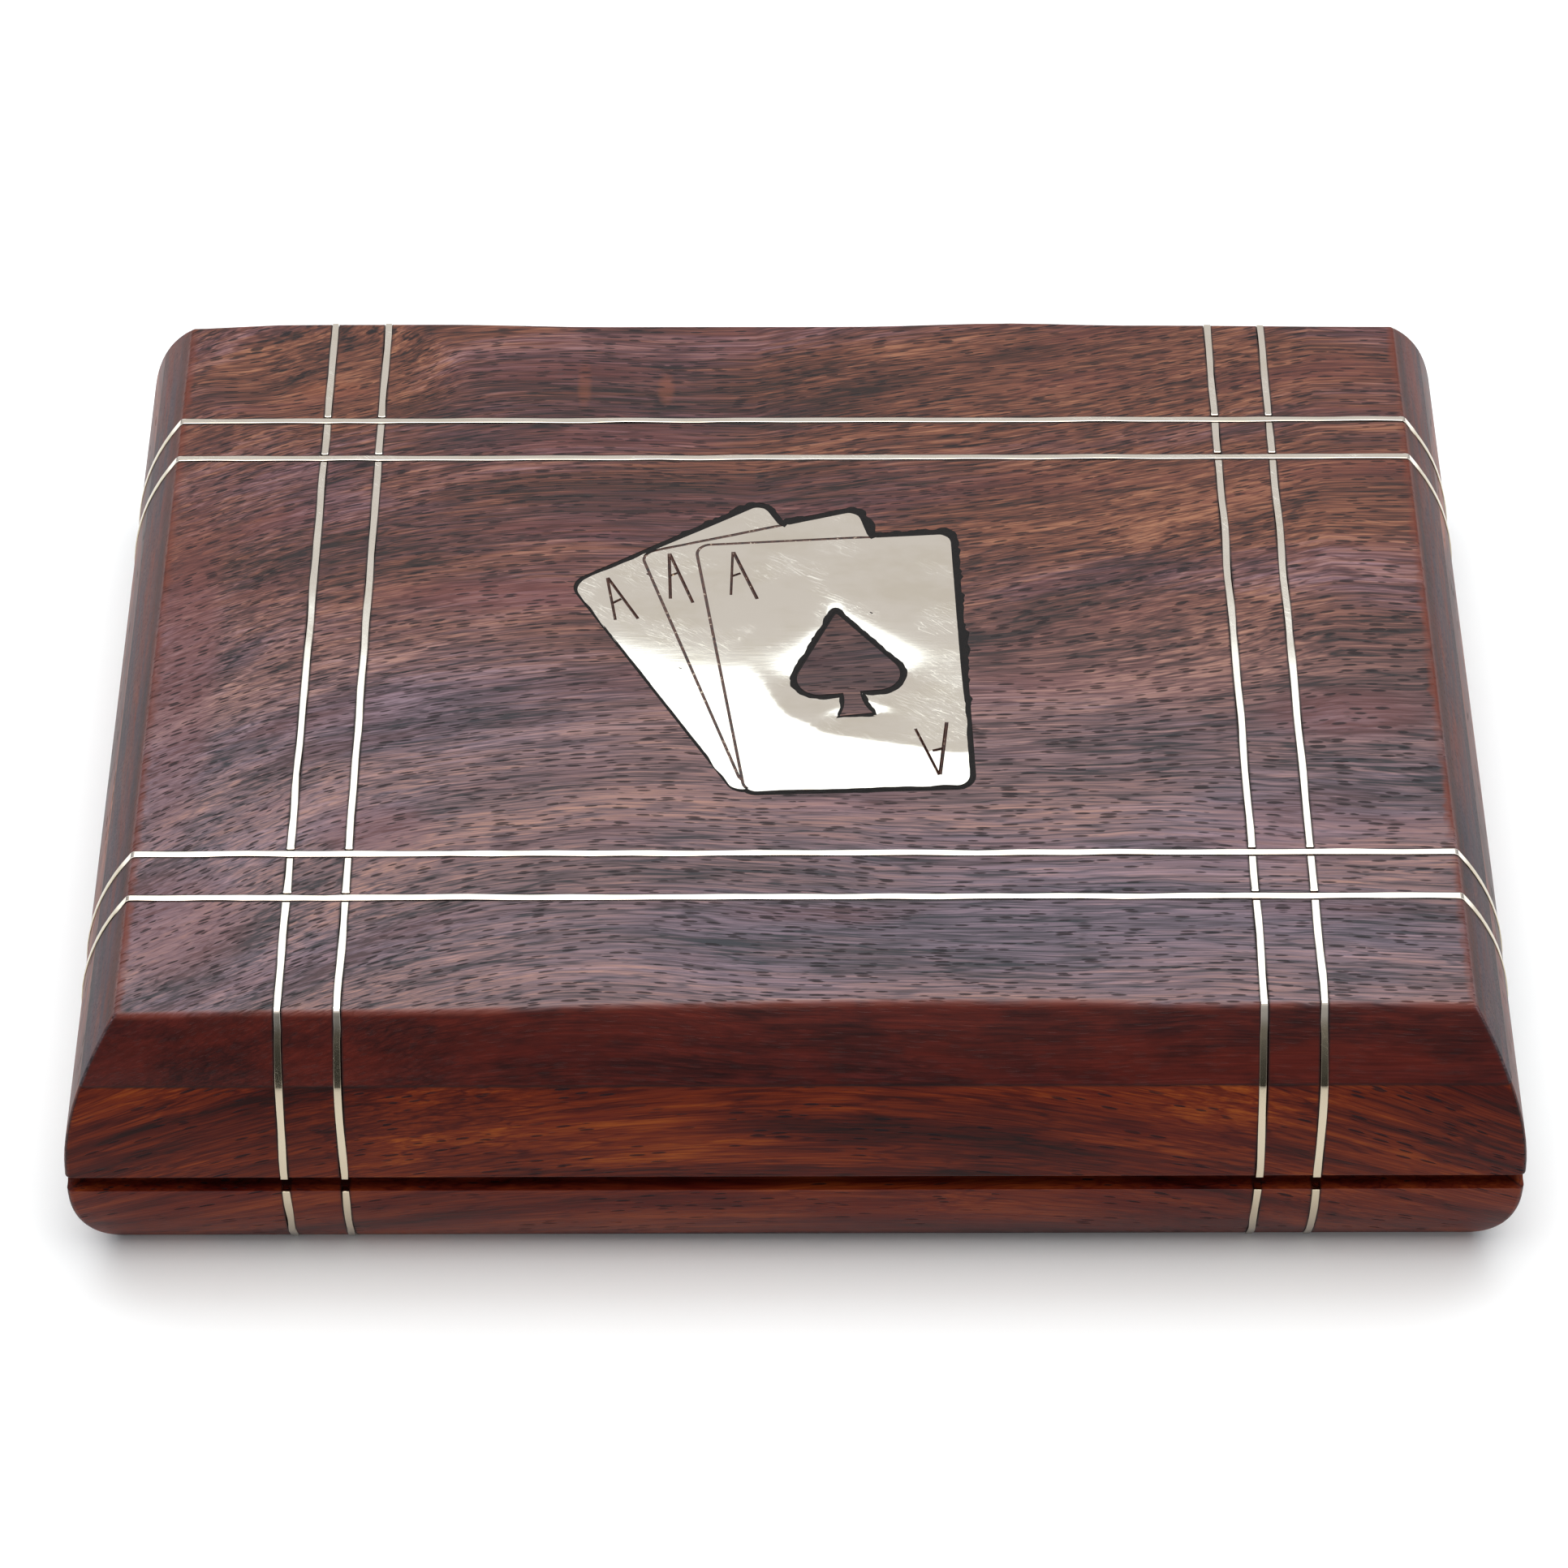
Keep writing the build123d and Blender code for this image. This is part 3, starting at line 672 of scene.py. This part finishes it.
def addBoard():
    piece = copyNode("lid_top_panel", "lidTopBoard")
    bpy.ops.object.mode_set(mode="EDIT")
    cuts = [(Vector((place * mm, 0, 0)), (1, 0, 0)) for place in range(-80, 85, board["cutStep"])]
    for place in board["cutsAcross"]:
        cuts += [(Vector((0, side * place * mm, 0)), (0, 1, 0)) for side in (-1, 1)]
    for place, normal in cuts:
        bpy.ops.mesh.select_all(action="SELECT")
        bpy.ops.mesh.bisect(plane_co=place, plane_no=normal)
    bpy.ops.object.mode_set(mode="OBJECT")
    sand(piece)
    softShade(piece, 20)
    applyModifier(piece, "WEIGHTED_NORMAL", keep_sharp=True)
    settle(piece, panelWood, "lid", "panel_wood", "lid_top_panel")


addBoard()
print("top board sanded")


def undersideLoops(piece):  # closed runs of points round the lowest face of a flat piece
    shape = bmesh.new()
    shape.from_mesh(piece.data)
    low = min(vert.co.z for vert in shape.verts) + 0.01 * mm
    rim = [edge for edge in shape.edges
           if all(vert.co.z < low for vert in edge.verts)
           and {face.normal.z < -0.9 for face in edge.link_faces} == {True, False}]
    loops = []
    while rim:
        first = rim.pop()
        run = [first.verts[0], first.verts[1]]
        while run[-1] != run[0]:
            edge = next(edge for edge in rim if run[-1] in edge.verts)
            rim.remove(edge)
            run.append(edge.other_vert(run[-1]))
        loops.append([vert.co.xy.copy() for vert in run[:-1]])
    shape.free()
    return sorted(loops, key=len)


def toLoop(point, loop):  # distance from a point to a closed run of points
    best = 1e9
    for start, end in zip(loop, loop[1:] + loop[:1]):
        step = end - start
        share = max(0, min(1, (point - start).dot(step) / max(step.length_squared, 1e-18)))
        best = min(best, (start + share * step - point).length)
    return best


def ripple(place, size, seed):  # smooth random number from -1 to 1, with swells of the given size
    return noise.noise(Vector((place[0] / size, place[1] / size, seed)))


# The ace plate: brushed, a little dished round its spade, and lettered with a small chisel
plate = {
    "meshStep": 0.8,
    "letters": [  # point, left foot, right foot and the ends of the bar of each letter
        ((-24.2, 13.4), (-22.9, 5.1), (-19.9, 5.3), (-23.4, 8.4), (-22.3, 9.2)),
        ((-16.2, 18.0), (-15.9, 9.0), (-12.9, 8.2), (-16.1, 13.5), (-15.0, 14.1)),
        ((-7.9, 18.3), (-8.1, 9.7), (-4.6, 8.9), (-8.1, 13.4), (-6.9, 14.0)),
        ((18.2, -23.1), (15.2, -14.4), (19.3, -13.2), (17.4, -18.6), (18.9, -18.1)),
    ],
    "strokeWidth": 0.75,
    "strokeDepth": 0.4,
    "strokeTaper": (0.85, 0.12, 1),  # the foot of a stroke against its top
    "strokeOver": 0.2,  # how much longer a stroke is than its line
    "pits": [(9.9, 6.6, 0.35), (-19.0, 13.9, 0.4), (-14.6, -3.5, 0.25)],  # place and width
    "dishDepth": 0.04,
    "dishReach": 2.2,
    "twist": [(-22, 0.0022), (-8, -0.001)],  # slope from front to back, by the place across
    "bowlFrom": -1,  # in front of this line the plate curls up a little
    "bowlReach": [(-6, 1.5), (-3, 7), (-1, 11), (3, 14), (20, 18.5)],  # by the place across
    "bowlCurve": 0.00045,
    "sink": 0.17,
    "warpDepth": 0.006,
    "warpSize": 9,
    "edgeWander": 0.13,
    "edgeReach": 1.5,  # how far in from the outline it is felt
    "edgeSize": 2.5,
    "leftLap": 0.38,  # how far the long left edge laps over the filler
    "leftFacing": (-0.869, -0.495),
    "leftEdge": 18.7,  # its distance from the middle of the lid
}


def addStroke(start, end, width, depth, top):  # a chisel's cut: a wedge with drawn-in ends
    start, end = Vector((*start, top)) * mm, Vector((*end, top)) * mm
    along = end - start
    bpy.ops.object.select_all(action="DESELECT")
    bpy.ops.mesh.primitive_cube_add(size=1, location=(0, 0, 0))
    wedge = bpy.context.object
    wedge.scale = (along.length + plate["strokeOver"] * mm, width * mm, 2 * depth * mm)
    bpy.ops.object.transform_apply(location=False, rotation=False, scale=True)
    bpy.ops.object.mode_set(mode="EDIT")
    bpy.ops.mesh.select_mode(type="FACE")
    bpy.ops.mesh.select_all(action="DESELECT")
    shape = bmesh.from_edit_mesh(wedge.data)
    for face in shape.faces:
        face.select_set(face.normal.z < -0.9)
    bmesh.update_edit_mesh(wedge.data)
    bpy.ops.transform.resize(value=plate["strokeTaper"])
    bpy.ops.object.mode_set(mode="OBJECT")
    wedge.rotation_euler = (0, 0, math.atan2(along.y, along.x))
    wedge.location = (start + end) / 2
    bpy.ops.object.transform_apply(location=True, rotation=True, scale=False)
    return wedge


def between(place, points):  # a value read from a few points, in straight runs
    for (startPlace, start), (endPlace, end) in zip(points, points[1:]):
        if place < endPlace:
            share = max(0, (place - startPlace) / (endPlace - startPlace))
            return start + (end - start) * share
    return points[-1][1]


def leftShare(place):  # 1 on the plate's long left edge, 0 a millimetre inside it
    return min(1, max(0, (place / mm).dot(Vector(plate["leftFacing"])) - plate["leftEdge"] + 1))


def joined(pieces):
    chosen(pieces[0])
    for piece in pieces:
        piece.select_set(True)
    bpy.ops.object.join()
    return bpy.context.object


def addPlate():
    model = copyNode("ace_plate", "plateModel")
    rimLoops = undersideLoops(model)
    low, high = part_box("ace_plate")
    size = high - low
    middle = (low + high) / 2

    # A finely divided slab cut to the plate's outline, so that its face can be worked
    bpy.ops.object.select_all(action="DESELECT")
    steps = [math.ceil(side / mm / plate["meshStep"]) for side in size.xy]
    bpy.ops.mesh.primitive_grid_add(x_subdivisions=steps[0], y_subdivisions=steps[1], size=1,
                                    location=(middle.x, middle.y, low.z + 0.001 * mm))
    slab = bpy.context.object
    slab.name = "acePlate"
    slab.scale = (size.x + 1 * mm, size.y + 1 * mm, 1)
    bpy.ops.object.transform_apply(location=True, rotation=True, scale=True)
    bpy.ops.object.mode_set(mode="EDIT")
    bpy.ops.mesh.select_all(action="SELECT")
    bpy.ops.mesh.extrude_region_move(TRANSFORM_OT_translate={"value": (0, 0, size.z - 0.002 * mm)})
    bpy.ops.mesh.select_all(action="SELECT")
    bpy.ops.mesh.normals_make_consistent(inside=False)
    bpy.ops.object.mode_set(mode="OBJECT")
    cutFrom(slab, model, "INTERSECT")

    top = high.z / mm
    draw = random.Random(3)
    cuts = []
    for point, left, right, barStart, barEnd in plate["letters"]:
        for start, end in ((point, left), (point, right), (barStart, barEnd)):
            width = plate["strokeWidth"] * draw.uniform(0.8, 1.15)
            cuts.append(addStroke(start, end, width, plate["strokeDepth"], top))
    for x, y, width in plate["pits"]:
        cuts.append(addStroke((x, y), (x + 0.2, y - 0.1), width, plate["strokeDepth"], top))
    cutFrom(slab, joined(cuts), "DIFFERENCE")

    # What is cut below the face holds brown polish
    settle(slab, plateMetal, "lid", "inlay_metal", "ace_plate")
    slab.data.materials.append(groovePolish)
    face, foot = high.z - 0.01 * mm, high.z - (plate["strokeDepth"] + 0.05) * mm
    for side in slab.data.polygons:
        isFloor = side.normal.z > 0.95 and side.center.z < face
        isWall = abs(side.normal.z) < 0.95 and side.center.z > foot
        side.material_index = 1 if isFloor or isWall else 0

    # The outline wanders as a hand saw left it, and the face dips towards the spade
    spadeLoop, outerLoop = rimLoops
    for vert in slab.data.vertices:
        place = vert.co.xy
        toSpade = toLoop(place, spadeLoop) / mm
        rim = min(toSpade, toLoop(place, outerLoop) / mm)
        loose = max(0, 1 - rim / plate["edgeReach"]) * plate["edgeWander"] * mm
        wander = [2 * ripple(place / mm, plate["edgeSize"], seed) for seed in (1, 7)]
        lap = Vector(plate["leftFacing"]) * leftShare(place) * plate["leftLap"] * mm
        vert.co += (Vector(wander) * loose + lap).to_3d()
        if vert.co.z > face:
            dish = plate["dishDepth"] * math.exp(-toSpade / plate["dishReach"])
            warp = plate["warpDepth"] * (1 + ripple(place / mm, plate["warpSize"], 4)) / 2
            x, y = place / mm
            slope = between(x, plate["twist"])
            curl = min(max(plate["bowlFrom"] - y, 0), between(x, plate["bowlReach"])) ** 2
            lift = slope * y + curl * plate["bowlCurve"]
            vert.co.z += (lift - plate["sink"] - dish - warp) * mm
    softShade(slab, 20)
    return rimLoops


rimLoops = addPlate()
print("ace plate cut and lettered")


# Black filler squeezed up round the plate and inside the spade, wider in some places
bead = {
    "step": 0.5,
    "spade": (0.2, 0.4),  # least and most half width
    "plate": (0.2, 0.36),
    "ragged": (0.34, 0.85),  # along the plate's back and right edges
    "raggedFrom": (1, 9),  # by the place across and towards the back
    "usual": 0.45,  # between least and most
    "slow": (0.6, 2.6),  # strength and size of its swells
    "quick": (0.5, 0.8),
    "leftNarrower": 0.55,  # along the plate's long left edge
    "flatness": 0.12,  # its height against its width
    "sink": 0.03,
}


def addBead(name, loop, seed, sizes, ragged):
    places = []
    for start, end in zip(loop, loop[1:] + loop[:1]):
        count = max(1, round((end - start).length / mm / bead["step"]))
        places += [start.lerp(end, i / count) for i in range(count)]
    curve = bpy.data.curves.new(name, "CURVE")
    curve.dimensions = "3D"
    curve.bevel_depth = mm
    curve.bevel_resolution = 2
    spline = curve.splines.new("POLY")
    spline.points.add(len(places) - 1)
    spline.use_cyclic_u = True
    area = sum(start.x * end.y - start.y * end.x for start, end in zip(loop, loop[1:] + loop[:1]))
    start, end = bead["raggedFrom"]
    for point, place, before in zip(spline.points, places, places[-1:] + places[:-1]):
        x, y = place / mm
        back = min(1, max(0, (y + x * 0.9 - start) / (end - start)))
        least, most = (low + (high - low) * back for low, high in zip(sizes, ragged))
        share = bead["usual"]
        for strength, size in (bead["slow"], bead["quick"]):
            share += strength * ripple((x, y), size, seed)
        left = leftShare(place)
        point.radius = least + (most - least) * min(1, max(0, share))
        point.radius *= 1 - left * bead["leftNarrower"]
        step = (place - before).normalized() * math.copysign(1, area)
        off = max(0, point.radius - sizes[0]) + left * plate["leftLap"]
        outward = Vector((step.y, -step.x)) * off * mm
        point.co = (*(place + outward), 0, 1)
    run = bpy.data.objects.new(name, curve)
    bpy.context.scene.collection.objects.link(run)
    chosen(run)
    bpy.ops.object.convert(target="MESH")
    run = bpy.context.object
    run.scale.z = bead["flatness"]
    run.location.z = (box["top"] - bead["sink"]) * mm
    bpy.ops.object.transform_apply(location=True, rotation=True, scale=True)
    softShade(run, 60)
    settle(run, filler, "lid", "black_filler")


addBead("spadeBead", rimLoops[0], 11, bead["spade"], bead["spade"])
addBead("plateBead", rimLoops[1], 23, bead["plate"], bead["ragged"])
print("filler squeezed up")


# Inlaid strips, hammered in by hand: they wander, swell and dip a little
strip = {
    "cutStep": 2.5,
    "cutsFrom": 0.013,  # in such steps, so that no cut lies on an edge
    "bevel": 0.09,
    "wander": 0.18,
    "wanderBelow": 0.3,  # the same on the sides of the box
    "wanderSize": 9,
    "swell": 0.08,
    "swellSize": 5,
    "thinner": 0.05,  # how far each edge stands back from the wood
    "dip": 0.09,
    "dipSize": 7,
    "flatDown": 1.3,  # as far as this below the top a strip dips straight down
    "sidesDown": 2,  # further down than this it is on the sides
}


def lineBeside(place, pair, spacing):  # the nearest strip line to a place, and how far off it is
    lines = [side * pair + edge * spacing / 2 for side in (-1, 1) for edge in (-1, 1)]
    line = min(lines, key=lambda line: abs(place - line))
    return line, place - line


def addStrip(name, body):
    piece = copyNode(name, name + "_inlay")
    applyModifier(piece, "BEVEL", width=strip["bevel"] * mm, segments=2, limit_method="ANGLE",
                  angle_limit=math.radians(50))
    low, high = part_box(name)
    chosen(piece)
    bpy.ops.object.mode_set(mode="EDIT")
    for axis, normal in ((0, (1, 0, 0)), (1, (0, 1, 0)), (2, (0, 0, 1))):
        start = math.ceil(low[axis] / mm / strip["cutStep"])
        for number in range(start, math.floor(high[axis] / mm / strip["cutStep"]) + 1):
            place = [0, 0, 0]
            place[axis] = (number + strip["cutsFrom"]) * strip["cutStep"] * mm
            bpy.ops.mesh.select_all(action="SELECT")
            bpy.ops.mesh.bisect(plane_co=place, plane_no=normal)
    bpy.ops.object.mode_set(mode="OBJECT")
    for vert in piece.data.vertices:
        x, y, z = vert.co / mm
        down = box["top"] - z
        fromShift = x - box["alongShift"]
        acrossLine, offAcross = lineBeside(y, box["acrossPair"], box["acrossSpacing"])
        alongLine, offAlong = lineBeside(fromShift, box["alongPair"], box["alongSpacing"])
        isAcross = abs(offAcross) < abs(offAlong)
        line, off, run = (acrossLine, offAcross, x) if isAcross else (alongLine, offAlong, y)
        wander = strip["wander"]
        if down > strip["sidesDown"]:
            run += down
            wander = strip["wanderBelow"]
        shift = wander * ripple((run, line), strip["wanderSize"], 2)
        narrowing = strip["swell"] * ripple((run, line), strip["swellSize"], 5) - strip["thinner"]
        shift += narrowing * (1 if off > 0 else -1)
        dip = strip["dip"] * (1 + ripple((run, line), strip["dipSize"], 8)) / 2
        outward = Vector((0, 0, 1))
        if down > strip["flatDown"]:
            outward = Vector((x / box["halfWidth"], y / box["halfDepth"], 0)).normalized()
        sideways = Vector((0, shift, 0)) if isAcross else Vector((shift, 0, 0))
        vert.co += (sideways - dip * outward) * mm
    sand(piece)
    softShade(piece, 20)
    settle(piece, stripMetal, body, "inlay_metal", name)


for name in sorted(nodes):
    if "strip" in name:
        addStrip(name, "lid" if name.startswith("lid") else "base")
print("strips laid")


# Hinge screws, slotted for a screwdriver and each stopped at an angle of its own
screw = {
    "apart": 6,  # points nearer than this to each other are on one head
    "slotWidth": 0.6,
    "slotDepth": 0.45,
    "slotPast": 0.3,  # how far the cutter reaches past the rim of the head
}


def addScrews(name, body, facing, seed):
    piece = copyNode(name, name + "_slotted")
    low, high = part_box(name)
    face = high.z if facing > 0 else low.z
    heads = []
    for vert in piece.data.vertices:
        if abs(vert.co.z - face) < 0.05 * mm:
            near = [head for head in heads if (head[0] - vert.co).length < screw["apart"] * mm]
            if near:
                near[0].append(vert.co.copy())
            else:
                heads.append([vert.co.copy()])
    draw = random.Random(seed)
    slots = []
    for rim in heads:
        middle = sum(rim, Vector()) / len(rim)
        reach = max((place - middle).length for place in rim) / mm
        turn = draw.uniform(0, math.pi)
        bpy.ops.object.select_all(action="DESELECT")
        bpy.ops.mesh.primitive_cube_add(size=1, location=middle, rotation=(0, 0, turn))
        slot = bpy.context.object
        length = 2 * (reach + screw["slotPast"])
        slot.scale = Vector((length, screw["slotWidth"], 2 * screw["slotDepth"])) * mm
        bpy.ops.object.transform_apply(location=True, rotation=True, scale=True)
        slots.append(slot)
    cutFrom(piece, joined(slots), "DIFFERENCE")
    softShade(piece, 30)
    settle(piece, screwBrass, body, "screw_brass", name)


addScrews("hinge_base_screws", "base", 1, 5)
addScrews("hinge_lid_screws", "lid", -1, 6)
print("screws slotted")


# Floor, lamps and sky
studio = {
    "floorSize": 6.0,
    "lamps": {  # elevation, azimuth from behind, distance, width, height, brightness and colour
        "window": (62, 0, 1.2, 2.4, 0.76, 1.3, (0.78, 0.92, 1.0)),
        "ceiling": (90, 0, 1.3, 1.4, 1.4, 2.6, (1.0, 0.98, 0.95)),
        "leftWall": (22, -90, 1.3, 1.6, 0.7, 0.3, (0.86, 0.94, 1.0)),
        "rightWall": (22, 90, 1.3, 1.6, 0.7, 0.3, (0.86, 0.94, 1.0)),
    },
    "sky": (0.65, 0.65, 0.65),
    "sideSky": (0.24, 0.25, 0.28),
    "sideFade": (0.45, 0.8),
    "darkSky": (0.05, 0.053, 0.05),  # the unlit room behind the camera
    "darkFade": (-0.58, -1.0),
}


def addFloor():
    bpy.ops.mesh.primitive_grid_add(x_subdivisions=4, y_subdivisions=4, size=studio["floorSize"])
    floor = bpy.context.object
    floor.name = "floor"
    sheet = Sheet("floorPaper")
    mottle = sheet.cloud(sheet.place.times((0.02, 0.02, 0.02)), 2)
    floor.data.materials.append(sheet.finish({
        "Base Color": sheet.mix(mottle, "#f6f6f6", "#fafafa"), "Roughness": 0.9}))


def addLamp(name, elevation, azimuth, reach, width, height, light, colour):
    data = bpy.data.lights.new(name, "AREA")
    data.shape = "RECTANGLE"
    data.size = width
    data.size_y = height
    data.energy = light * math.pi * width * height
    data.color = colour
    lamp = bpy.data.objects.new(name, data)
    bpy.context.scene.collection.objects.link(lamp)
    up, turn = math.radians(elevation), math.radians(azimuth)
    away = Vector((math.sin(turn) * math.cos(up), math.cos(turn) * math.cos(up), math.sin(up)))
    target = Vector((0, 0, box["top"] * mm))
    facing = away.to_track_quat("Z", "Y").to_matrix().to_4x4()
    lamp.matrix_world = Matrix.Translation(target + away * reach) @ facing


def addSky():
    world = bpy.data.worlds.new("studio")
    bpy.context.scene.world = world
    world.use_nodes = True
    tree = world.node_tree
    tree.nodes.clear()

    def node(kind, **settings):
        made = tree.nodes.new(kind)
        for name, value in settings.items():
            setattr(made, name, value)
        return made

    def fade(value, start, end):
        made = node("ShaderNodeMapRange", interpolation_type="SMOOTHSTEP")
        made.inputs["From Min"].default_value = start
        made.inputs["From Max"].default_value = end
        tree.links.new(value, made.inputs["Value"])
        return made.outputs[0]

    where = node("ShaderNodeTexCoord")
    split = node("ShaderNodeSeparateXYZ")
    tree.links.new(where.outputs["Generated"], split.inputs[0])
    aside = node("ShaderNodeMath", operation="ABSOLUTE")
    tree.links.new(split.outputs["X"], aside.inputs[0])
    walls = node("ShaderNodeMix", data_type="RGBA")
    walls.inputs[6].default_value = (*studio["sky"], 1)
    walls.inputs[7].default_value = (*studio["sideSky"], 1)
    tree.links.new(fade(aside.outputs[0], *studio["sideFade"]), walls.inputs[0])
    room = node("ShaderNodeMix", data_type="RGBA")
    tree.links.new(walls.outputs[2], room.inputs[6])
    room.inputs[7].default_value = (*studio["darkSky"], 1)
    tree.links.new(fade(split.outputs["Y"], *studio["darkFade"]), room.inputs[0])

    # The camera itself sees white beyond the floor
    ray = node("ShaderNodeLightPath")
    seen = node("ShaderNodeMix", data_type="RGBA")
    seen.inputs[7].default_value = (1, 1, 1, 1)
    tree.links.new(ray.outputs["Is Camera Ray"], seen.inputs[0])
    tree.links.new(room.outputs[2], seen.inputs[6])
    light = node("ShaderNodeBackground")
    tree.links.new(seen.outputs[2], light.inputs["Color"])
    tree.links.new(light.outputs[0], node("ShaderNodeOutputWorld").inputs["Surface"])


addFloor()
for lampName, facts in studio["lamps"].items():
    addLamp(lampName, *facts)
addSky()
bpy.context.scene.view_settings.view_transform = "Standard"
print("studio lit")
